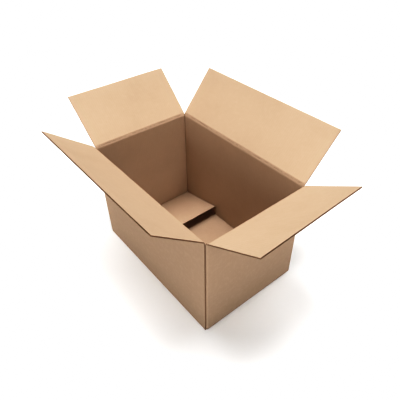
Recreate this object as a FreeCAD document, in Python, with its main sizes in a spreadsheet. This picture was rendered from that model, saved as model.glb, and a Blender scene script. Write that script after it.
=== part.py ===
import FreeCAD, Part
import os
import Sketcher

# Open regular slotted box of single-wall corrugated board.
# Millimetres, +Z up.  The origin is the centre of the footprint on the
# surface the box stands on; X runs along the long walls, Y along the short.
# The blank is one sheet: front wall (-Y), left wall (-X), back wall (+Y),
# right wall (+X) and the glue lap, which folds round the front right corner
# and is glued inside the front wall.  The four top flaps swing on their
# creases, so each is a solid of its own; the bottom flaps stay in the body.

doc = FreeCAD.newDocument("OpenBox")

# --------------------------------------------------------------- dimensions
DIMS = [
    ("board", 4.0),          # thickness of the board
    ("boxlength", 608.0),    # outside length, along X
    ("boxwidth", 393.0),     # outside width, along Y
    ("boxheight", 400.0),    # height of the long flaps' creases
    ("foldradius", 4.5),     # outside radius of the upright folds
    ("baseradius", 3.0),     # outside radius of the bottom folds
    ("flaplength", 196.0),   # long flaps, hinge line to free edge
    ("creasestep", 4.5),     # short flaps' creases lie this much lower
    ("slotinset", 6.0),      # outer face of a wall to the side edge of a flap
    ("slotease", 0.3),       # short creases reach this far past their flaps' edges
    ("topslot", 393.0),      # height of the bottom of the upper slots
    ("baseslot", 8.0),       # height of the top of the lower slots
    ("seam", 1.4),           # gap where two long flaps meet when closed
    ("seamshift", 1.0),      # the bottom seam lies this much behind the middle
    ("layergap", 0.3),       # air between the bottom layers
    ("lapwidth", 35.0),      # glue lap, from the inner face of the right wall
    ("laptop", 389.0),       # upper end of the lap at the fold
    ("lapbase", 11.0),       # lower end of the lap at the fold
    ("lapbevel", 11.0),      # how far its slanted ends run in over its width
    ("axisout", 0.2),        # hinge line to the outer face of the wall
    ("crush", 0.35),         # setback of the crushed crease from the hinge
    ("land", 0.25),          # width of the liner left whole at the crease
    ("frontangle", 51.1),    # opening of each top flap from upright, degrees
    ("backangle", 42.5),
    ("leftangle", 47.5),
    ("rightangle", 60.7),
    ("leftrise", 11.3),      # lift of the short bottom flaps, degrees
    ("rightrise", 6.0),
]
sheet = doc.addObject("Spreadsheet::Sheet", "dims")
for i, (alias, value) in enumerate(DIMS):
    sheet.set("A%d" % (i + 1), alias)
    sheet.set("B%d" % (i + 1), str(value))
    sheet.setAlias("B%d" % (i + 1), alias)
doc.recompute()
D = dict(DIMS)


def value(expr):
    """Number that an expression of sheet names gives, for a first guess."""
    node = doc.getObject("probe")
    node.setExpression("x", bound(expr))
    doc.recompute()
    return float(node.x)


def bound(expr):
    out = expr
    for alias in sorted(D, key=len, reverse=True):
        out = out.replace("{%s}" % alias, "dims.%s" % alias)
    return out


probe = doc.addObject("App::FeaturePython", "probe")
probe.addProperty("App::PropertyFloat", "x")


def plane(body, role):
    for item in body.Origin.OriginFeatures:
        if item.Role == role:
            return item
    raise RuntimeError(role)


def sketch(body, name, role, outlines, offset=None):
    """Closed outlines on an origin plane, every corner bound to the sheet."""
    sk = body.newObject("Sketcher::SketchObject", name)
    sk.AttachmentSupport = [(plane(body, role), "")]
    sk.MapMode = "FlatFace"
    if offset:
        sk.setExpression(".AttachmentOffset.Base.z", bound(offset))
    first = 0
    for points in outlines:
        at = [(value(px), value(py)) for px, py in points]
        n = len(at)
        for i in range(n):
            a, b = at[i], at[(i + 1) % n]
            sk.addGeometry(Part.LineSegment(FreeCAD.Vector(a[0], a[1], 0),
                                            FreeCAD.Vector(b[0], b[1], 0)), False)
        for i in range(n):
            sk.addConstraint(Sketcher.Constraint(
                "Coincident", first + i, 2, first + (i + 1) % n, 1))
        for i in range(n):
            for kind, expr, number in (("DistanceX", points[i][0], at[i][0]),
                                       ("DistanceY", points[i][1], at[i][1])):
                if abs(number) < 1e-9:
                    axis = -2 if kind == "DistanceX" else -1
                    sk.addConstraint(Sketcher.Constraint("PointOnObject", first + i, 1, axis))
                elif number > 0:
                    c = sk.addConstraint(Sketcher.Constraint(kind, -1, 1, first + i, 1, number))
                    sk.setExpression("Constraints[%d]" % c, bound(expr))
                else:
                    c = sk.addConstraint(Sketcher.Constraint(kind, first + i, 1, -1, 1, -number))
                    sk.setExpression("Constraints[%d]" % c, bound("-(%s)" % expr))
        first += n
    return sk


def pad(body, name, sk, length, midplane=False, reverse=False):
    f = body.newObject("PartDesign::Pad", name)
    f.Profile = sk
    f.Type = "Length"
    f.Midplane = midplane
    f.Reversed = reverse
    f.setExpression("Length", bound(length))
    sk.Visibility = False
    doc.recompute()
    return f


def pocket(body, name, sk, length, midplane=False, reverse=False):
    before = body.Shape.Volume
    f = body.newObject("PartDesign::Pocket", name)
    f.Profile = sk
    f.Type = "Length"
    f.Midplane = midplane
    f.Reversed = reverse
    f.setExpression("Length", bound(length))
    sk.Visibility = False
    doc.recompute()
    removed = before - body.Shape.Volume
    print("%-22s removes %.1f mm3" % (name, removed))
    if removed <= 0:
        raise RuntimeError(name + " removes nothing")
    return f


def rect(x0, y0, x1, y1):
    return [(x0, y0), (x1, y0), (x1, y1), (x0, y1)]


# ------------------------------------------------------------------ the body
body = doc.addObject("PartDesign::Body", "box_body")
body.Label = "box_body"
doc.recompute()

# Plan of the four walls.  The front wall ends in a raw edge just short of the
# front right corner; the right wall turns inside it and runs on as the lap.
walls = sketch(body, "wall_plan", "XY_Plane", [
    [("{boxlength}/2-{slotinset}", "-{boxwidth}/2"),
     ("-{boxlength}/2", "-{boxwidth}/2"),
     ("-{boxlength}/2", "{boxwidth}/2"),
     ("{boxlength}/2", "{boxwidth}/2"),
     ("{boxlength}/2", "-{boxwidth}/2+{board}"),
     ("{boxlength}/2-{slotinset}", "-{boxwidth}/2+{board}")],
    [("{boxlength}/2-{board}", "{boxwidth}/2-{board}"),
     ("-{boxlength}/2+{board}", "{boxwidth}/2-{board}"),
     ("-{boxlength}/2+{board}", "-{boxwidth}/2+{board}"),
     ("{boxlength}/2-{board}-{lapwidth}", "-{boxwidth}/2+{board}"),
     ("{boxlength}/2-{board}-{lapwidth}", "-{boxwidth}/2+2*{board}"),
     ("{boxlength}/2-{board}", "-{boxwidth}/2+2*{board}")],
])
wall_pad = pad(body, "walls", walls, "{boxheight}")


def upright_edges(shape, spots):
    names = []
    for i, e in enumerate(shape.Edges):
        v = e.Vertexes
        if len(v) != 2:
            continue
        a, b = v[0].Point, v[1].Point
        if abs(a.x - b.x) > 1e-6 or abs(a.y - b.y) > 1e-6:
            continue
        for sx, sy in spots:
            if abs(a.x - sx) < 1e-3 and abs(a.y - sy) < 1e-3:
                names.append("Edge%d" % (i + 1))
    return names


hx, hy = D["boxlength"] / 2, D["boxwidth"] / 2
corners = upright_edges(body.Shape, [(-hx, -hy), (-hx, hy), (hx, hy), (hx, -hy + D["board"])])
if len(corners) != 4:
    raise RuntimeError("upright folds not found")
folds = body.newObject("PartDesign::Fillet", "upright_folds")
folds.Base = (wall_pad, corners)
folds.setExpression("Radius", bound("{foldradius}"))
doc.recompute()

# The short walls stand one board higher, on top of the long bottom flaps.
lift = sketch(body, "short_wall_lift", "XY_Plane", [
    rect("{boxlength}/2-{slotinset}", "-{boxwidth}/2-1", "{boxlength}/2+1", "{boxwidth}/2+1"),
    rect("-{boxlength}/2-1", "-{boxwidth}/2-1", "-{boxlength}/2+{slotinset}", "{boxwidth}/2+1"),
])
pocket(body, "short_wall_gap", lift, "{board}+{layergap}", reverse=True)

# Slots at the four lower and four upper corners.
def corner_squares(ease):
    out = []
    for sx in ("", "-"):
        for sy in ("", "-"):
            x0 = "%s({boxlength}/2-{slotinset})" % sx
            x1 = "%s({boxlength}/2+1)" % sx
            y0 = "%s({boxwidth}/2-{slotinset}-%s)" % (sy, ease)
            y1 = "%s({boxwidth}/2+1)" % sy
            out.append(rect(x0, y0, x1, y1))
    return out


pocket(body, "lower_slots", sketch(body, "lower_slot_plan", "XY_Plane", corner_squares("0")),
       "{baseslot}", reverse=True)
pocket(body, "upper_slots",
       sketch(body, "upper_slot_plan", "XY_Plane", corner_squares("0"), offset="{topslot}"),
       "{boxheight}-{topslot}+1", reverse=True)

# Crushed crease along the top of the long walls: a narrow land of liner and
# a 45 degree crush behind it.
def long_crease(s):
    return [("%s({boxwidth}/2+1)" % s, "{boxheight}-{crush}-{land}"),
            ("%s({boxwidth}/2-{land})" % s, "{boxheight}-{crush}-{land}"),
            ("%s({boxwidth}/2-{board}-1)" % s, "{boxheight}-{crush}-{board}-1"),
            ("%s({boxwidth}/2-{board}-1)" % s, "{boxheight}+1"),
            ("%s({boxwidth}/2+1)" % s, "{boxheight}+1")]


pocket(body, "long_creases",
       sketch(body, "long_crease_profile", "YZ_Plane", [long_crease("-"), long_crease("")]),
       "{boxlength}+20", midplane=True)


# The same along the top of the short walls, lower, a little wider than their
# flaps, so that a closed flap clears the fold at each end.
def short_crease(s):
    z = "{boxheight}-{creasestep}"
    return [("%s({boxlength}/2+1)" % s, z + "-{crush}-{land}"),
            ("%s({boxlength}/2-{land})" % s, z + "-{crush}-{land}"),
            ("%s({boxlength}/2-{board}-0.15)" % s, z + "-{crush}-{board}-0.15"),
            ("%s({boxlength}/2-{board}-4)" % s, z + "-{crush}-{board}-0.15"),
            ("%s({boxlength}/2-{board}-4)" % s, "{boxheight}+1"),
            ("%s({boxlength}/2+1)" % s, "{boxheight}+1")]


pocket(body, "short_creases",
       sketch(body, "short_crease_profile", "XZ_Plane", [short_crease("-"), short_crease("")]),
       "{boxwidth}-2*{slotinset}+2*{slotease}", midplane=True)

# Slanted ends of the glue lap.
lap_fold = "{boxlength}/2-{board}"
lap_free = "{boxlength}/2-{board}-{lapwidth}"
bevels = sketch(body, "lap_end_outline", "XZ_Plane", [
    [(lap_fold, "{laptop}"),
     (lap_fold, "{boxheight}+1"),
     (lap_free + "-1", "{boxheight}+1"),
     (lap_free + "-1", "{laptop}-{lapbevel}*({lapwidth}+1)/{lapwidth}")],
    [(lap_fold, "{lapbase}"),
     (lap_free + "-1", "{lapbase}+{lapbevel}*({lapwidth}+1)/{lapwidth}"),
     (lap_free + "-1", "-1"),
     (lap_fold, "-1")],
], offset="{boxwidth}/2-{board}")
pocket(body, "lap_ends", bevels, "{board}")

# Long bottom flaps, flat on the ground, meeting close to the centre line.
base = sketch(body, "long_base_flaps", "XY_Plane", [
    rect("-{boxlength}/2+{slotinset}", "-{boxwidth}/2+{board}/2",
         "{boxlength}/2-{slotinset}", "{seamshift}-{seam}/2"),
    rect("-{boxlength}/2+{slotinset}", "{seamshift}+{seam}/2",
         "{boxlength}/2-{slotinset}", "{boxwidth}/2-{board}/2"),
])
pad(body, "long_base_pad", base, "{board}")


# Short bottom flaps, inside on top of the long ones, each lifted a little
# about its fold; the profile runs from the wall round the fold to the edge.
def short_base(s, rise):
    a = "({%s}*1deg)" % rise
    z = "({board}+{layergap})"
    n = "({flaplength}+{creasestep})"
    inner = z + "+{board}*cos" + a + "+{board}*(1+sin" + a + ")*tan" + a
    return [("%s({boxlength}/2)" % s, z),
            ("%s({boxlength}/2-%s*cos%s)" % (s, n, a), "%s+%s*sin%s" % (z, n, a)),
            ("%s({boxlength}/2-%s*cos%s+{board}*sin%s)" % (s, n, a, a),
             "%s+%s*sin%s+{board}*cos%s" % (z, n, a, a)),
            ("%s({boxlength}/2-{board})" % s, inner),
            ("%s({boxlength}/2-{board})" % s, "14"),
            ("%s({boxlength}/2)" % s, "14")]


pad(body, "short_base_left",
    sketch(body, "left_base_profile", "XZ_Plane", [short_base("-", "leftrise")]),
    "{boxwidth}-2*{slotinset}", midplane=True)
last = pad(body, "short_base_right",
           sketch(body, "right_base_profile", "XZ_Plane", [short_base("", "rightrise")]),
           "{boxwidth}-2*{slotinset}", midplane=True)


# Rounded bottom folds: the outer lower edges of the four walls.
def base_edges(shape):
    names = []
    zs = D["board"] + D["layergap"]
    for i, e in enumerate(shape.Edges):
        v = e.Vertexes
        if len(v) != 2:
            continue
        a, b = v[0].Point, v[1].Point
        long_edge = (abs(abs(a.y) - hy) < 1e-3 and abs(abs(b.y) - hy) < 1e-3 and a.y * b.y > 0
                     and abs(a.z) < 1e-3 and abs(b.z) < 1e-3 and abs(a.x - b.x) > 100)
        short_edge = (abs(abs(a.x) - hx) < 1e-3 and abs(abs(b.x) - hx) < 1e-3 and a.x * b.x > 0
                      and abs(a.z - zs) < 1e-3 and abs(b.z - zs) < 1e-3 and abs(a.y - b.y) > 100)
        if long_edge or short_edge:
            names.append("Edge%d" % (i + 1))
    return names


names = base_edges(body.Shape)
print("bottom folds", names)
if len(names) != 4:
    raise RuntimeError("bottom folds not found")
bottoms = body.newObject("PartDesign::Fillet", "bottom_folds")
bottoms.Base = (last, names)
bottoms.setExpression("Radius", bound("{baseradius}"))
doc.recompute()
body.Placement = FreeCAD.Placement(FreeCAD.Vector(0, 0, 0), FreeCAD.Rotation())


# ------------------------------------------------------------- the top flaps
def flap(name, role, side, length, width, axis, angle, px, py, pz):
    """A flap about its own hinge line: drawn upright, the outer face just
    inside the hinge line, its root crushed at 45 degrees like the wall's."""
    b = doc.addObject("PartDesign::Body", name)
    b.Label = name
    doc.recompute()
    s = side
    outline = [("%s({axisout})" % s, "{crush}+{land}"),
               ("%s({axisout}+{land})" % s, "{crush}+{land}"),
               ("%s({axisout}+{board})" % s, "{crush}+{board}"),
               ("%s({axisout}+{board})" % s, length),
               ("%s({axisout})" % s, length)]
    pad(b, name + "_pad", sketch(b, name + "_profile", role, [outline]), width, midplane=True)
    b.Placement = FreeCAD.Placement(FreeCAD.Vector(0, 0, 0), FreeCAD.Rotation(axis, 10.0))
    b.setExpression("Placement.Base.x", bound(px))
    b.setExpression("Placement.Base.y", bound(py))
    b.setExpression("Placement.Base.z", bound(pz))
    b.setExpression("Placement.Rotation.Angle", bound("{%s}*1deg" % angle))
    doc.recompute()
    return b


V = FreeCAD.Vector
long_width = "{boxlength}-2*{slotinset}"
short_width = "{boxwidth}-2*{slotinset}"
short_length = "{flaplength}+{creasestep}"
flaps = [
    flap("top_flap_front", "YZ_Plane", "", "{flaplength}", long_width, V(1, 0, 0),
         "frontangle", "0", "-({boxwidth}/2+{axisout})", "{boxheight}"),
    flap("top_flap_back", "YZ_Plane", "-", "{flaplength}", long_width, V(-1, 0, 0),
         "backangle", "0", "{boxwidth}/2+{axisout}", "{boxheight}"),
    flap("top_flap_left", "XZ_Plane", "", short_length, short_width, V(0, -1, 0),
         "leftangle", "-({boxlength}/2+{axisout})", "0", "{boxheight}-{creasestep}"),
    flap("top_flap_right", "XZ_Plane", "-", short_length, short_width, V(0, 1, 0),
         "rightangle", "{boxlength}/2+{axisout}", "0", "{boxheight}-{creasestep}"),
]

doc.removeObject("probe")
doc.recompute()

# ------------------------------------------------------------ check and write
for o in doc.Objects:
    if "Invalid" in o.State or "Error" in o.State:
        raise RuntimeError("%s %s" % (o.Name, o.State))
parts = [body] + flaps
for o in parts:
    sh = o.Shape
    if sh.isNull() or not sh.isValid() or len(sh.Solids) != 1:
        raise RuntimeError("%s shape null, invalid or not one solid" % o.Label)
    bb = sh.BoundBox
    print("%-16s volume %.0f mm3, x %.1f..%.1f y %.1f..%.1f z %.1f..%.1f" % (
        o.Label, sh.Volume, bb.XMin, bb.XMax, bb.YMin, bb.YMax, bb.ZMin, bb.ZMax))
os.makedirs("parts", exist_ok=True)
for o in parts:
    o.Shape.exportStep(os.path.join("parts", o.Label + ".step"))
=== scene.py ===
"""An open corrugated box: one slotted and creased sheet of single-wall board, folded up and glued at one corner.

Every piece is a mesh of the board itself. A grid is laid on the flat sheet, U along the flutes' pitch and V along the
flutes, and each of its points is folded into place. Where the sheet is cut across the flutes the two liners and the
wave between them are modelled, and where it is cut along them the gap between the liners is.
Lengths are in millimetres until the mesh is written, which is in metres.
"""

import math

import bpy
import numpy as np
from mathutils import Matrix, Vector


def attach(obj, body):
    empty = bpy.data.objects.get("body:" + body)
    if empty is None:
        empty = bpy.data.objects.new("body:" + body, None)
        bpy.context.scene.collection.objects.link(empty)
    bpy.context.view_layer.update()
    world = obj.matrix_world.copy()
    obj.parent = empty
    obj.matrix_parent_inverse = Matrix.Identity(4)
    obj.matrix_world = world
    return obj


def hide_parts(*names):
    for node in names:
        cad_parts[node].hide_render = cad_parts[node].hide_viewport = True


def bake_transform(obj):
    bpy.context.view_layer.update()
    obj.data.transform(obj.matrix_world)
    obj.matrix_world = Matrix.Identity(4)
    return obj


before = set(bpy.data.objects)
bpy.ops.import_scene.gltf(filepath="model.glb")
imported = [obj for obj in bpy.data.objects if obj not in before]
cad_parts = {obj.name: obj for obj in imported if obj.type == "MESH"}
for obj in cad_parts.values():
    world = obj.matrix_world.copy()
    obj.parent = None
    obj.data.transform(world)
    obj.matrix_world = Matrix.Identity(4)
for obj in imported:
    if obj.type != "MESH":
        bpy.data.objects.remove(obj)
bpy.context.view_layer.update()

# ---------------------------------------------------------------- the board
T = 4.0            # thickness of the board
LINER = 0.36       # thickness of each liner
MEDIUM = 0.26      # thickness of the wave
PITCH = 7.8        # length of one flute
SWING = 1.46       # half height of the wave's centreline
STEP = PITCH / 8   # one grid column

# The outer face of the walls, seen from above, is one run of straight pieces: the glue lap, then the right, back, left
# and front walls. U is the way along it, with sharp corners, and 0 is the corner between the lap and the right wall.
FOLD_R = 4.5
AT = np.array([0.0, 388.9, 996.9, 1389.9])            # U of the four corners
END = 1991.9                                          # U of the front wall's raw edge
REF = np.array([(304, -192.4), (304, -192.4), (304, 196.5), (-304, 196.5), (-304, -196.5)], float)
REF_U = np.array([0.0, 0.0, 388.9, 996.9, 1389.9])
RUN = np.array([(1, 0), (0, 1), (-1, 0), (0, -1), (1, 0)], float)
OUT = np.stack([RUN[:, 1], -RUN[:, 0]], 1)
BOW = np.array([0.0, 0.5, -0.7, 0.6, 0.8])            # how far each wall's middle stands out
SPAN = np.array([35.0, 388.9, 608.0, 393.0, 602.0])

TOP = 400.0
SEAM_TOP, SEAM_BASE = 388.0, 12.0                     # where the flap pieces start
SLOT_TOP, SLOT_BASE = 395.5, 8.0                      # ends of the slots at the corners

# How far the four corners of the rim have moved from a true rectangle, in x and y
RIM = {(-1, -1): (-3.8, -0.9), (-1, 1): (-0.5, 2.0), (1, 1): (0.5, 0.0), (1, -1): (0.3, -0.2)}


def ease(x):
    x = np.clip(x, 0.0, 1.0)
    return x * x * (3 - 2 * x)


def wobble(x, seed, period):
    """Smooth noise along one coordinate, from -1 to 1, with a bend about every period."""
    r = np.random.RandomState(seed).uniform(-1, 1, 4096)
    k = np.asarray(x, float) / period + 1500.0
    i = np.floor(k).astype(int)
    f = ease(k - i)
    return r[i % 4096] * (1 - f) + r[(i + 1) % 4096] * f


def settle(p):
    """The whole box is slightly out of square towards its rim."""
    fx, fy = np.clip(p[:, 0] / 304, -1, 1), np.clip(p[:, 1] / 196.5, -1, 1)
    s = np.clip(p[:, 2] / TOP, 0, 1)
    q = p.copy()
    for (cx, cy), (mx, my) in RIM.items():
        w = s * (1 + cx * fx) * (1 + cy * fy) / 4
        q[:, 0] += w * mx
        q[:, 1] += w * my
    return q


def wall(U, Z, t):
    """A point of the walls: U along the outer face, Z up, t inwards from the outer face."""
    k = np.searchsorted(AT, U, side="right")
    along = (U - REF_U[k])[:, None]
    p = REF[k] + RUN[k] * along
    n = OUT[k].copy()
    c = np.abs(U[:, None] - AT[None]).argmin(1)
    q = U - AT[c]
    a = (q + FOLD_R) / (2 * FOLD_R) * (math.pi / 2)
    d0, n0 = RUN[c], OUT[c]
    corner = REF[np.array([0, 2, 3, 4])][c]
    hub = corner - FOLD_R * d0 - FOLD_R * n0
    arc = n0 * np.cos(a)[:, None] + d0 * np.sin(a)[:, None]
    near = (np.abs(q) < FOLD_R)[:, None]
    p = np.where(near, hub + FOLD_R * arc, p)
    n = np.where(near, arc, n)
    # the scored line of each fold, where the inner liner is pressed in
    line = 0.55 * wobble(Z + 900 * c, 11, 34) + 0.3 * wobble(Z + 900 * c, 12, 12)
    deep = 0.64 + 0.06 * wobble(Z + 900 * c, 13, 21)
    tt = t * (1 - deep * np.exp(-(((q - line * 0.9) / 2.3) ** 2)))
    f = np.clip((U - REF_U[k]) / SPAN[k], 0, 1)
    lift = BOW[k] * np.sin(math.pi * f) * np.sin(math.pi * np.clip(Z / TOP, 0, 1))
    lift = np.where(k == 0, 0.0, lift)
    xy = p + n * (lift - tt)[:, None]
    return np.column_stack([xy, Z])


def shell_place(U, V, t):
    """The walls and the glue lap, whose ends are bevelled."""
    back = np.clip(-U - 6.0, 0, None) / 29.0
    lo, hi = SEAM_BASE + 10.0 * back, SEAM_TOP - 10.0 * back
    z = lo + (V - SEAM_BASE) / (SEAM_TOP - SEAM_BASE) * (hi - lo)
    z = np.where(U < -6.0, z, V)
    return settle(wall(U, z, t))


def crease_shade_wall(U, V):
    """Where the inner corners of the walls' folds get painted shade, along their pressed score lines, from 0 to 1."""
    c = np.abs(U[:, None] - AT[None]).argmin(1)
    q = U - AT[c]
    line = 0.55 * wobble(V + 900 * c, 11, 34) + 0.3 * wobble(V + 900 * c, 12, 12)
    return np.exp(-(((q - line * 0.9) / 1.9) ** 2)) * (0.8 + 0.2 * wobble(V + 900 * c, 14, 25))


def top_place(run, crease, th0, th1, u0, u1, length, lean, crush, trim, seed):
    """A top flap with the strip of wall under its crease. V is 0 at the crease and grows along the flap. trim is how
    much longer it is at each end of U, and how much wider at its root and tip there."""
    foot = SEAM_TOP - crease
    lean = math.radians(lean)
    long0, long1, root0, tip0, root1, tip1 = trim
    lo, hi = math.radians(min(th0, th1)), math.radians(max(th0, th1) + 0.01)
    s = np.linspace(foot, 2.0, 241)
    table = []
    for th in (lo, hi):
        phi = lean * ease((s - foot) / (-foot - 2)) + (th - lean) * ease((s + 2.2) / 3.7)
        for f in (np.sin(phi), np.cos(phi)):
            table.append(np.concatenate([[0.0], np.cumsum((f[1:] + f[:-1]) / 2) * (s[1] - s[0])]))

    def place(U, V, t):
        side0, side1 = 1 - ease((U - u0) / 7), 1 - ease((u1 - U) / 7)
        f, g = (U - u0) / (u1 - u0), np.clip(V / length, 0, 1)
        grown = ease((V - foot) / -foot)
        Us = U - (root0 + (tip0 - root0) * g) * grown * (1 - f) + (root1 + (tip1 - root1) * g) * grown * f
        Us = Us + 0.28 * wobble(V, seed + 1, 17) * side0 + 0.28 * wobble(V, seed + 2, 17) * side1
        Vs = V + (long0 * (1 - f) + long1 * f) * g
        Vs = Vs + (0.30 * wobble(U, seed + 3, 55) + 0.10 * wobble(U, seed + 4, 9)) * ease((V - 150) / 46)
        th = np.radians(th0 + (th1 - th0) * f)
        mix = (th - lo) / (hi - lo)
        v = np.clip(Vs, foot, 2)
        n = np.interp(v, s, table[0]) * (1 - mix) + np.interp(v, s, table[2]) * mix
        z = np.interp(v, s, table[1]) * (1 - mix) + np.interp(v, s, table[3]) * mix
        over = np.clip(Vs - 2, 0, None)
        n, z = n + over * np.sin(th), z + foot + over * np.cos(th)
        phi = lean * ease((Vs - foot) / (-foot - 2)) + (th - lean) * ease((Vs + 2.2) / 3.7)
        # the crushed band of the crease, and the narrow uneven score in it
        band = np.where(Vs < 0, ease((Vs - foot) / (-foot - 1)), 1 - ease((Vs - 0.7) / 4.6))
        tt = t * (1 - (crush + 0.03 * wobble(U, seed + 5, 30)) * band)
        score = 0.50 + 0.45 * wobble(U, seed + 6, 9) + 0.35 * wobble(U, seed + 15, 37) + 0.25 * wobble(U, seed + 7, 2.6)
        tt = tt - np.clip(score, 0.0, 1.2) * np.exp(-(((Vs - 0.35 * wobble(U, seed + 8, 11)) / 0.95) ** 2)) * t / T
        # cut edges are a little crushed
        rim = ease((V - (length - 5)) / 5) * (0.05 + 0.09 * np.abs(wobble(U, seed + 9, 16)))
        edge = (side0 + side1) * (0.08 + 0.12 * np.abs(wobble(V, seed + 10, 13))) * ease((V - 2) / 6)
        mid = T * 0.5
        tt = mid + (tt - mid) * (1 - np.maximum(rim, edge))
        warp = 0.55 * wobble(U, seed + 11, 170) * wobble(V, seed + 12, 80) * ease(V / 60)
        n = n + (warp - tt) * np.cos(phi)
        z = crease + z - (warp - tt) * np.sin(phi)
        xy = REF[run] + RUN[run] * (Us - REF_U[run])[:, None] + OUT[run] * n[:, None]
        flat = np.column_stack([xy, z])
        w = ease((V - foot) / (-0.75 * foot))[:, None]
        return settle(wall(U, crease + np.clip(V, -40, 0), t) * (1 - w) + flat * w)

    def crease_shade(U, V):
        """How much painted shade the flap gets along its pressed score line at each point, from 0 to 1."""
        score = 0.30 + 0.40 * wobble(U, seed + 6, 9) + 0.35 * wobble(U, seed + 15, 37) + 0.2 * wobble(U, seed + 7, 2.6)
        return np.clip(score, 0.0, 0.8) * np.exp(-(((V - 0.35 * wobble(U, seed + 8, 11)) / 0.8) ** 2))

    return place, crease_shade


def base_place(run, crease, rise, u0, u1, seed):
    """A bottom flap with the strip of wall above its fold. V is 0 at the fold and falls along the flap."""
    r, turn = 3.0, math.radians(90 + rise)
    reach = r * math.tan(turn / 2)

    def place(U, V, t):
        side0, side1 = 1 - ease((U - u0) / 7), 1 - ease((u1 - U) / 7)
        Us = U + 0.25 * wobble(V, seed + 1, 17) * side0 + 0.25 * wobble(V, seed + 2, 17) * side1
        a = np.clip((reach - V) / (2 * reach), 0, 1) * turn
        n = np.where(V > reach, 0.0, -r + r * np.cos(a))
        z = np.where(V > reach, V, reach - r * np.sin(a))
        past = np.clip(-V - reach, 0, None)
        n, z = n - past * math.sin(turn), z - past * math.cos(turn)
        tt = t * (1 - 0.52 * np.exp(-((V / 3.6) ** 2)))
        n = n - tt * np.cos(a)
        z = crease + z + tt * np.sin(a)
        xy = REF[run] + RUN[run] * (Us - REF_U[run])[:, None] + OUT[run] * n[:, None]
        flat = np.column_stack([xy, z])
        top = SEAM_BASE - crease
        w = ease((top - V) / 6)[:, None]
        return settle(wall(U, crease + np.clip(V, 0, None), t) * (1 - w) + flat * w)

    return place


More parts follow.
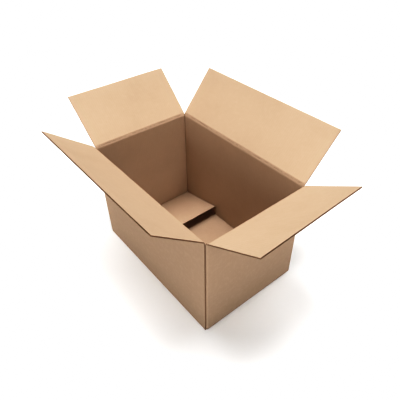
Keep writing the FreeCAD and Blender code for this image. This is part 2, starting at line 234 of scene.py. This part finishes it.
# ---------------------------------------------------------------- the mesher
class Board:
    """A closed mesh of a cut-out of the board. us and vs are the grid's lines and mask its cells. opened(kind, i, j)
    says whether the boundary edge from node (i, j) shows the flutes: kind "V" is an edge cut across them, which runs
    along U, and kind "U" is an edge cut along them."""

    def __init__(self, us, vs, mask, opened, seed):
        self.us, self.vs, self.mask, self.opened, self.seed = us, vs, mask, opened, seed
        self.par, self.faces, self.cut, self.index = [], [], [], {}
        self.build()

    def point(self, key, u, v, t):
        got = self.index.get(key)
        if got is None:
            got = self.index[key] = len(self.par)
            self.par.append((u, v, t))
        return got

    def wave(self, u):
        c = T / 2 + SWING * math.sin(2 * math.pi * u / PITCH)
        return max(c - MEDIUM / 2, LINER + 0.03), min(c + MEDIUM / 2, T - LINER - 0.03)

    def levels(self, node):
        i, j = node
        u = self.us[i]
        style = self.style[node]
        if style == "V":
            a, b = self.wave(u)
            return [0.0, LINER, a, b, T - LINER, T]
        if style == "U":
            return [0.0, LINER, T - LINER, T]
        return [0.0, T]

    def rim(self, node):
        i, j = node
        made = []
        ls = self.levels(node)
        for k, t in enumerate(ls):
            if k == 0:
                key = (i, j, "o")
            elif k == len(ls) - 1:
                key = (i, j, "n")
            else:
                key = (i, j, k)
            made.append(self.point(key, self.us[i], self.vs[j], t))
        return made

    def build(self):
        us, vs, m = self.us, self.vs, self.mask
        nu, nv = m.shape

        def has(i, j):
            return 0 <= i < nu and 0 <= j < nv and m[i, j]

        for i in range(nu):
            for j in range(nv):
                if not m[i, j]:
                    continue
                ring = ((i, j), (i + 1, j), (i + 1, j + 1), (i, j + 1))
                o = [self.point((a, b, "o"), us[a], vs[b], 0.0) for a, b in ring]
                n = [self.point((a, b, "n"), us[a], vs[b], T) for a, b in ring]
                self.faces.append(o)
                self.faces.append(n[::-1])
                self.cut += [0, 0]
        # boundary edges, each with its nodes in order and the way out of the sheet
        edges = []
        for i in range(nu):
            for j in range(nv + 1):
                below, above = has(i, j - 1), has(i, j)
                if below and not above:
                    edges.append(((i, j), (i + 1, j), "V", (0, 1), self.opened("V", i, j)))
                elif above and not below:
                    edges.append(((i + 1, j), (i, j), "V", (0, -1), self.opened("V", i, j)))
        for i in range(nu + 1):
            for j in range(nv):
                left, right = has(i - 1, j), has(i, j)
                if left and not right:
                    edges.append(((i, j + 1), (i, j), "U", (1, 0), self.opened("U", i, j)))
                elif right and not left:
                    edges.append(((i, j), (i, j + 1), "U", (-1, 0), self.opened("U", i, j)))
        seen = {}
        for a, b, kind, way, op in edges:
            for node in (a, b):
                seen.setdefault(node, set()).add((kind, way) if op else None)
        self.style = {}
        for node, kinds in seen.items():
            self.style[node] = "solid" if None in kinds or len(kinds) > 1 else next(iter(kinds))[0]
        live = {
            e for e in edges
            if e[4] and self.style[e[0]] == e[2] and self.style[e[1]] == e[2]
        }
        starts, ends = {e[0] for e in live}, {e[1] for e in live}
        for e in edges:
            a, b, kind, way, _ = e
            la, lb = self.rim(a), self.rim(b)
            if e not in live:
                self.faces.append([la[0]] + lb + la[:0:-1])
                self.cut.append(1)
                continue
            if kind == "V":
                cuts, voids = ((0, 1), (2, 3), (4, 5)), ((1, 2), (3, 4))
            else:
                cuts, voids = ((0, 1), (2, 3)), ((1, 2),)
            for k, l in cuts:
                self.faces.append([la[k], lb[k], lb[l], la[l]])
                self.cut.append(1)
            deep = []
            for node in (a, b):
                i, j = node
                if kind == "V":
                    d = 14.0
                else:
                    d = 1.9 + 0.5 * float(wobble(self.vs[j], self.seed, 14))
                u, v = self.us[i] - way[0] * d, self.vs[j] - way[1] * d
                ls = self.levels(node)
                deep.append([self.point((i, j, "deep", k), u, v, t) for k, t in enumerate(ls) if 0 < k < len(ls) - 1])
            for k, l in voids:
                da, db = deep
                ak, al, bk, bl = da[k - 1], da[l - 1], db[k - 1], db[l - 1]
                self.faces += [
                    [la[k], lb[k], bk, ak],
                    [la[l], al, bl, lb[l]],
                    [ak, bk, bl, al],
                ]
                self.cut += [2, 2, 2]
                if a not in ends:
                    self.faces.append([la[k], ak, al, la[l]])
                    self.cut.append(2)
                if b not in starts:
                    self.faces.append([lb[k], lb[l], bl, bk])
                    self.cut.append(2)


def write(name, board, place, shift, crease_shade=None):
    """Folds the board's grid into place and makes the object."""
    par = np.array(board.par, float)
    co = place(par[:, 0], par[:, 1], par[:, 2]) * 0.001
    mesh = bpy.data.meshes.new(name)
    sizes = np.array([len(f) for f in board.faces], np.int32)
    loops = np.fromiter((x for f in board.faces for x in f), np.int32, int(sizes.sum()))
    mesh.vertices.add(len(co))
    mesh.vertices.foreach_set("co", co.astype(np.float32).ravel())
    mesh.loops.add(len(loops))
    mesh.loops.foreach_set("vertex_index", loops)
    mesh.polygons.add(len(sizes))
    starts = np.concatenate([[0], np.cumsum(sizes)[:-1]]).astype(np.int32)
    mesh.polygons.foreach_set("loop_start", starts)
    cut = np.array(board.cut, np.int32)
    mesh.polygons.foreach_set("material_index", np.minimum(cut, 1))
    flat = mesh.attributes.new("sharp_face", "BOOLEAN", "FACE")
    flat.data.foreach_set("value", cut > 0)
    board_co = mesh.attributes.new("board_co", "FLOAT_VECTOR", "POINT")
    tex = np.column_stack([par[:, 0], par[:, 1] + shift, par[:, 2]]) * 0.001
    board_co.data.foreach_set("vector", tex.astype(np.float32).ravel())
    # painted shade of the creases and fold corners, kept as a point attribute for the liner material
    crease_shade_map = mesh.attributes.new("crease_shade", "FLOAT", "POINT")
    crease_shade_values = np.zeros(len(par)) if crease_shade is None else crease_shade(par[:, 0], par[:, 1])
    crease_shade_map.data.foreach_set("value", crease_shade_values.astype(np.float32))
    mesh.update(calc_edges=True)
    mesh.validate(verbose=False, clean_customdata=False)
    obj = bpy.data.objects.new(name, mesh)
    bpy.context.scene.collection.objects.link(obj)
    mesh.materials.append(LINER_MAT)
    mesh.materials.append(CUT_MAT)
    return obj


def lines(*parts):
    """Grid lines from (start, end, step) parts, each end met exactly."""
    made = []
    for a, b, step in parts:
        count = max(1, int(round(abs(b - a) / step)))
        made += list(np.linspace(a, b, count + 1))
    made = np.array(sorted(set(np.round(made, 4))))
    return made


# ---------------------------------------------------------------- materials
def node(tree, kind, **values):
    n = tree.nodes.new(kind)
    for k, v in values.items():
        setattr(n, k, v)
    return n


def maths(tree, op, a, b=None, c=None, clamp=False):
    n = tree.nodes.new("ShaderNodeMath")
    n.operation, n.use_clamp = op, clamp
    for s, x in enumerate((a, b, c)):
        if x is None:
            continue
        if isinstance(x, (int, float)):
            n.inputs[s].default_value = x
        else:
            tree.links.new(x, n.inputs[s])
    return n.outputs[0]


def stretched(tree, vec, scale):
    m = tree.nodes.new("ShaderNodeMapping")
    m.inputs["Scale"].default_value = scale
    tree.links.new(vec, m.inputs["Vector"])
    return m.outputs["Vector"]


def noise(tree, vec, scale, detail=3.0, rough=0.55):
    n = tree.nodes.new("ShaderNodeTexNoise")
    n.inputs["Scale"].default_value = scale
    n.inputs["Detail"].default_value = detail
    n.inputs["Roughness"].default_value = rough
    tree.links.new(vec, n.inputs["Vector"])
    return n.outputs["Fac"]


def tint(tree, base, factor, colour):
    """Mixes colour into base by factor."""
    m = tree.nodes.new("ShaderNodeMix")
    m.data_type = "RGBA"
    tree.links.new(factor, m.inputs["Factor"])
    if isinstance(base, tuple):
        m.inputs["A"].default_value = (*base, 1)
    else:
        tree.links.new(base, m.inputs["A"])
    if isinstance(colour, tuple):
        m.inputs["B"].default_value = (*colour, 1)
    else:
        tree.links.new(colour, m.inputs["B"])
    return m.outputs["Result"]


INSIDE = (0.530, 0.402, 0.298)      # the liner that faces inwards
OUTSIDE = (0.422, 0.316, 0.230)     # the liner that faces outwards


def kraft(name):
    mat = bpy.data.materials.new(name)
    mat.use_nodes = True
    tree = mat.node_tree
    bsdf = tree.nodes["Principled BSDF"]
    co = node(tree, "ShaderNodeAttribute", attribute_name="board_co", attribute_type="GEOMETRY").outputs["Vector"]
    xyz = tree.nodes.new("ShaderNodeSeparateXYZ")
    tree.links.new(co, xyz.inputs[0])
    u, v, depth = xyz.outputs
    inner = maths(tree, "MULTIPLY", maths(tree, "SUBTRACT", depth, 0.0018), 2500.0, clamp=True)
    base = tint(tree, OUTSIDE, inner, INSIDE)
    # slow cloudiness of the pulp
    cloud = noise(tree, stretched(tree, co, (1, 1, 40)), 9.0, 3.0)
    dark = maths(tree, "MULTIPLY", maths(tree, "SUBTRACT", 0.56, cloud), 0.55, clamp=True)
    base = tint(tree, base, dark, (0.385, 0.275, 0.19))
    pulp = noise(tree, stretched(tree, co, (1, 1, 40)), 70.0, 4.0, 0.6)
    pulp_f = maths(tree, "MULTIPLY", maths(tree, "SUBTRACT", pulp, 0.47), 0.55, clamp=True)
    base = tint(tree, base, pulp_f, (0.61, 0.48, 0.37))
    # fibres lie along U
    fibre = noise(tree, stretched(tree, co, (0.16, 1, 40)), 1500.0, 3.0, 0.65)
    fibre_f = maths(tree, "MULTIPLY", maths(tree, "SUBTRACT", fibre, 0.5), 0.6, clamp=True)
    base = tint(tree, base, fibre_f, (0.36, 0.25, 0.165))
    # a few dark flecks of bark
    fleck = noise(tree, stretched(tree, co, (0.55, 1, 40)), 420.0, 2.0, 0.5)
    fleck_f = maths(tree, "MULTIPLY", maths(tree, "SUBTRACT", fleck, 0.69), 6.0, clamp=True)
    base = tint(tree, base, maths(tree, "MULTIPLY", fleck_f, 0.35), (0.20, 0.11, 0.055))
    # the flutes show faintly through the liner: darker lines at the flutes' pitch, partly the glue under the liner and
    # partly painted shade of its washboard ripple
    ridge = maths(tree, "SINE", maths(tree, "MULTIPLY", u, 2 * math.pi / 0.0078))
    glue_lines_and_shade = maths(tree, "MULTIPLY", maths(tree, "ADD", ridge, 1.0), 0.018)
    base = tint(tree, base, glue_lines_and_shade, (0.30, 0.20, 0.12))
    # painted shade in the inner corners of the walls' folds and along the flaps' score lines, only on the inner face
    crease_shade_map = node(tree, "ShaderNodeAttribute", attribute_name="crease_shade", attribute_type="GEOMETRY").outputs["Fac"]
    crease_shade_map = maths(tree, "MULTIPLY", maths(tree, "MULTIPLY", crease_shade_map, inner), 0.62, clamp=True)
    base = tint(tree, base, crease_shade_map, (0.16, 0.085, 0.045))
    tree.links.new(base, bsdf.inputs["Base Color"])
    rough = maths(tree, "ADD", 0.80, maths(tree, "MULTIPLY", pulp, 0.14))
    tree.links.new(rough, bsdf.inputs["Roughness"])
    bsdf.inputs["Specular IOR Level"].default_value = 0.22
    height = maths(tree, "ADD", maths(tree, "MULTIPLY", fibre, 0.000035), maths(tree, "MULTIPLY", ridge, 0.000018))
    height = maths(tree, "ADD", height, maths(tree, "MULTIPLY", pulp, 0.00012))
    bump = tree.nodes.new("ShaderNodeBump")
    bump.inputs["Strength"].default_value = 0.7
    bump.inputs["Distance"].default_value = 1.0
    tree.links.new(height, bump.inputs["Height"])
    tree.links.new(bump.outputs["Normal"], bsdf.inputs["Normal"])
    return mat


def cut_board(name):
    """The cut edge of the liners and the wave, and what can be seen between them, darker than the liners: partly the
    cut board's own tone, partly painted shade of the flute cavities.
    """
    mat = bpy.data.materials.new(name)
    mat.use_nodes = True
    tree = mat.node_tree
    bsdf = tree.nodes["Principled BSDF"]
    co = node(tree, "ShaderNodeAttribute", attribute_name="board_co", attribute_type="GEOMETRY").outputs["Vector"]
    soft = noise(tree, co, 260.0, 4.0, 0.65)
    # darker brown: partly the cut board's own tone, partly painted shade of the flute cavities
    base = tint(tree, (0.34, 0.225, 0.14), soft, (0.20, 0.12, 0.07))
    fibre = noise(tree, stretched(tree, co, (1, 1, 3)), 2100.0, 3.0, 0.7)
    fibre_f = maths(tree, "MULTIPLY", maths(tree, "SUBTRACT", fibre, 0.5), 1.6, clamp=True)
    base = tint(tree, base, fibre_f, (0.46, 0.33, 0.22))
    tree.links.new(base, bsdf.inputs["Base Color"])
    rough = maths(tree, "ADD", 0.86, maths(tree, "MULTIPLY", soft, 0.12))
    tree.links.new(rough, bsdf.inputs["Roughness"])
    bsdf.inputs["Specular IOR Level"].default_value = 0.12
    bump = tree.nodes.new("ShaderNodeBump")
    bump.inputs["Strength"].default_value = 0.8
    bump.inputs["Distance"].default_value = 1.0
    tree.links.new(maths(tree, "MULTIPLY", fibre, 0.0002), bump.inputs["Height"])
    tree.links.new(bump.outputs["Normal"], bsdf.inputs["Normal"])
    return mat


LINER_MAT = kraft("kraft_liner")
CUT_MAT = cut_board("kraft_cut_edge")
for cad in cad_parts.values():
    cad.data.materials.clear()
    cad.data.materials.append(LINER_MAT)

# ---------------------------------------------------------------- the pieces
LONG, SHORT = 196.0, 200.5

# name, run, crease height, flap angle from upright at each end of U, U at each end, length, lean, crush, trim
TOPS = (
    ("front", 4, 400.0, 52.80, 51.20, 1393.4, 1991.9, LONG, 5.0, 0.42, (0.8, 0.8, 0.0, 5.0, 0.0, 0.0), 100),
    ("right", 1, 395.5, 61.20, 59.90, 1.2, 384.7, SHORT, 5.0, 0.42, (5.0, 0.5, 0.0, -1.0, 1.5, 1.5), 200),
    ("back", 2, 397.0, 44.93, 39.74, 392.4, 993.4, LONG, 2.0, 0.34, (0.8, 0.8, 1.5, -1.0, 1.5, 0.5), 300),
    ("left", 3, 395.5, 45.50, 50.00, 1001.1, 1385.7, SHORT, 4.0, 0.38, (0.0, 4.5, 1.5, 2.5, -1.0, -1.0), 400),
)
# name, run, fold height, lift, U at each end, length
BASES = (
    ("front", 4, 0.0, 0.0, 1395.9, 1991.9, 196.8, 500),
    ("right", 1, 4.3, 6.0, 1.9, 382.9, 200.5, 600),
    ("back", 2, 0.0, 0.0, 394.9, 990.9, 194.8, 700),
    ("left", 3, 3.4, 11.3, 1002.9, 1383.9, 203.0, 800),
)

# walls
cols = lines(
    (-35, -6, STEP), (-6, 1.2, 0.72), (1.2, 1.9, 0.7), (1.9, 8, 0.9), (8, 380, 15.5), (380, 382.9, 0.9),
    (382.9, 384.7, 0.9), (384.7, 392.4, 0.77), (392.4, 394.9, 0.83), (394.9, 398, 0.9), (398, 987, 15.5),
    (987, 990.9, 0.9), (990.9, 993.4, 0.83), (993.4, 1001.1, 0.77), (1001.1, 1002.9, 0.9), (1002.9, 1006, 0.9),
    (1006, 1380, 15.5), (1380, 1383.9, 0.9), (1383.9, 1385.7, 0.9), (1385.7, 1393.4, 0.77), (1393.4, 1395.9, 0.83),
    (1395.9, 1399, 0.9), (1399, 1990, 15.5), (1990, 1991.9, 0.95),
)
rows = lines(
    (8, 12, 4), (12, 12.6, 0.6), (12.6, 20, 7.4), (20, 380, 10), (380, 387.4, 7.4), (387.4, 388, 0.6),
    (388, SLOT_TOP, 3.75),
)
mask = np.zeros((len(cols) - 1, len(rows) - 1), bool)
mid_u, mid_v = (cols[1:] + cols[:-1]) / 2, (rows[1:] + rows[:-1]) / 2
body = (mid_v > SEAM_BASE) & (mid_v < SEAM_TOP)
for i, u in enumerate(mid_u):
    low = -6 < u < 1.9 or any(abs(u - c) < 6 for c in AT[1:])
    high = -6 < u < 1.2 or 384.7 < u < 392.4 or 993.4 < u < 1001.1 or 1385.7 < u < 1393.4
    mask[i] = body | (low & (mid_v < SEAM_BASE)) | (high & (mid_v > SEAM_TOP))


def shell_open(kind, i, j):
    if kind == "U":
        return i in (0, len(cols) - 1)
    u, v = (cols[i] + cols[i + 1]) / 2, rows[j]
    return u < -6 or v in (SLOT_BASE, SLOT_TOP)


walls = write("walls", Board(cols, rows, mask, shell_open, 21), shell_place, 0.0, crease_shade_wall)
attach(walls, "box")
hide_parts("box_body")

# bottom flaps
for name, run, fold, rise, u0, u1, length, seed in BASES:
    top = SEAM_BASE - fold
    cols = lines((u0, u1, STEP))
    rows = lines(
        (top, top - 0.6, 0.6), (top - 0.6, 5.4, 1.2), (5.4, 3.8, 0.8), (3.8, -3.8, 0.76), (-3.8, -10, 2), (-10, -30, 10),
        (-30, -length + 20, 22), (-length + 20, -length + 4, 8), (-length + 4, -length + 1, 3), (-length + 1, -length, 1),
    )
    mask = np.ones((len(cols) - 1, len(rows) - 1), bool)
    board = Board(cols, rows, mask, lambda kind, i, j: kind == "U" or j == 0, seed)
    piece = write("bottom_flap_" + name, board, base_place(run, fold, rise, u0, u1, seed), fold)
    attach(piece, "box")

# top flaps: each bends between the walls and its flap at the crease
for name, run, crease, th0, th1, u0, u1, length, lean, crush, trim, seed in TOPS:
    start = SEAM_TOP - crease
    cols = lines((u0, u1, STEP))
    rows = lines(
        (start, start + 0.6, 0.6), (start + 0.6, -4, 1.5), (-4, -2, 1), (-2, 2, 0.5),
        (2, 5, 1), (5, 8, 1.5), (8, 20, 4), (20, 180, 8), (180, length - 5, 5), (length - 5, length - 1, 2),
        (length - 1, length, 1),
    )
    mask = np.ones((len(cols) - 1, len(rows) - 1), bool)
    last = len(rows) - 1
    board = Board(cols, rows, mask, lambda kind, i, j: kind == "U" or j == last, seed)
    place, crease_shade = top_place(run, crease, th0, th1, u0, u1, length, lean, crush, trim, seed)
    piece = write("flap_" + name + "_board", board, place, crease, crease_shade)
    middle = (u0 + u1) / 2
    ends = place(np.array([middle, middle]), np.array([-3.5, 6.0]), np.array([0.0, 0.0])) * 0.001
    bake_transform(piece)
    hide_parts("top_flap_" + name)

# ---------------------------------------------------------------- floor, light and camera
scene = bpy.context.scene


def plain(name, colour, roughness):
    mat = bpy.data.materials.new(name)
    mat.use_nodes = True
    tree = mat.node_tree
    bsdf = tree.nodes["Principled BSDF"]
    co = tree.nodes.new("ShaderNodeTexCoord").outputs["Object"]
    f = noise(tree, co, 3.0, 2.0)
    base = tint(tree, colour, f, tuple(c * 0.985 for c in colour))
    tree.links.new(base, bsdf.inputs["Base Color"])
    bsdf.inputs["Roughness"].default_value = roughness
    bsdf.inputs["Specular IOR Level"].default_value = 0.1
    return mat


size = 12.0
mesh = bpy.data.meshes.new("floor")
mesh.from_pydata([(-size, -size, -0.0004), (size, -size, -0.0004), (size, size, -0.0004), (-size, size, -0.0004)], [], [(0, 1, 2, 3)])
floor = bpy.data.objects.new("floor", mesh)
scene.collection.objects.link(floor)
mesh.materials.append(plain("floor_white", (0.86, 0.86, 0.86), 0.9))
floor.data.materials[0].node_tree.nodes["Principled BSDF"].inputs["Emission Color"].default_value = (1, 1, 1, 1)
floor.data.materials[0].node_tree.nodes["Principled BSDF"].inputs["Emission Strength"].default_value = 0.12

# a white screen all round, far off, which only the camera sees
sides, radius, height = 48, 11.5, 40.0
ring = [(radius * math.cos(2 * math.pi * k / sides), radius * math.sin(2 * math.pi * k / sides)) for k in range(sides)]
mesh = bpy.data.meshes.new("backdrop")
mesh.from_pydata(
    [(x, y, -0.001) for x, y in ring] + [(x, y, height) for x, y in ring], [],
    [((k + 1) % sides, k, sides + k, sides + (k + 1) % sides) for k in range(sides)],
)
screen = bpy.data.objects.new("backdrop", mesh)
scene.collection.objects.link(screen)
mesh.materials.append(plain("backdrop_white", (0.86, 0.86, 0.86), 0.9))
glow = mesh.materials[0].node_tree.nodes["Principled BSDF"].inputs
glow["Emission Color"].default_value = (1, 1, 1, 1)
glow["Emission Strength"].default_value = 1.3
screen.visible_shadow = screen.visible_diffuse = screen.visible_glossy = False

LIGHTS = (
    # name, azimuth and elevation that it comes from, how wide it looks, strength
    ("overhead", 0, 89.9, 12, 0.92),
    ("high_left", -75, 75, 24, 1.50),
    ("high_back", 195, 75, 24, 0.76),
    ("high_front", 0, 62, 24, 0.56),
    ("back", 180, 62, 24, 1.12),
    ("left", -75, 54, 30, 0.62),
    ("right", 85, 35, 24, 1.30),
    ("low_front_right", 20, 35, 24, 0.16),
    ("low_front", 5, 17, 24, 1.04),
    ("low_right", 75, 17, 24, 0.16),
)
for name, az, el, wide, strength in LIGHTS:
    light = bpy.data.lights.new(name, "SUN")
    light.angle, light.energy = math.radians(wide), strength
    lamp = bpy.data.objects.new(name, light)
    scene.collection.objects.link(lamp)
    a, e = math.radians(az), math.radians(el)
    way = Vector((math.sin(a) * math.cos(e), -math.cos(a) * math.cos(e), math.sin(e)))
    lamp.location = way * 3
    lamp.rotation_mode = "QUATERNION"
    lamp.rotation_quaternion = way.to_track_quat("Z", "Y")

world = bpy.data.worlds.new("studio")
scene.world = world
world.use_nodes = True
world.node_tree.nodes["Background"].inputs["Color"].default_value = (1.0, 1.0, 1.0, 1)
world.node_tree.nodes["Background"].inputs["Strength"].default_value = 0.04

camera = bpy.data.cameras.new("camera")
camera.sensor_width = 36.0
camera.lens = 406.4635 * 36.0 / 400.0
camera.shift_y = 0.0013
camera.clip_start, camera.clip_end = 0.05, 60.0
eye = bpy.data.objects.new("camera", camera)
scene.collection.objects.link(eye)
right = Vector((0.6285742341, 0.7776288928, -0.0137017268))
down = Vector((0.4917131190, -0.4109884686, -0.7676631340))
ahead = Vector((-0.6025882846, 0.4757959477, -0.6407070902))
turn = Matrix((right, -down, -ahead)).transposed()
eye.rotation_mode = "QUATERNION"
eye.rotation_quaternion = turn.to_quaternion()
eye.location = (0.871468, -0.661041, 1.161190)
scene.camera = eye

scene.view_settings.view_transform = "Standard"
scene.view_settings.look = "None"
# a print's contrast: dark parts fall off faster than the light does, and the brightest roll over into white
scene.view_settings.use_curve_mapping = True
contrast = scene.view_settings.curve_mapping
contrast.use_clip = False
contrast.clip_max_x = contrast.clip_max_y = 2.0
tone = contrast.curves[3]
shown = np.linspace(0, 1, 1001)
needed = (shown + 1.15 * np.clip(shown - 0.5, 0, None) ** 2) ** (1 / 1.65)
xs = [0.0, 0.05, 0.1, 0.17, 0.25, 0.37, 0.5, 0.65, 0.8, 0.93, 1.06, 1.165, 1.6]
ys = [float(np.interp(x, needed, shown)) for x in xs]
tone.points[0].location = (xs[0], ys[0])
tone.points[1].location = (xs[-1], ys[-1])
for x, y in zip(xs[1:-1], ys[1:-1]):
    tone.points.new(x, y)
for point in tone.points:
    point.handle_type = "VECTOR"
contrast.update()
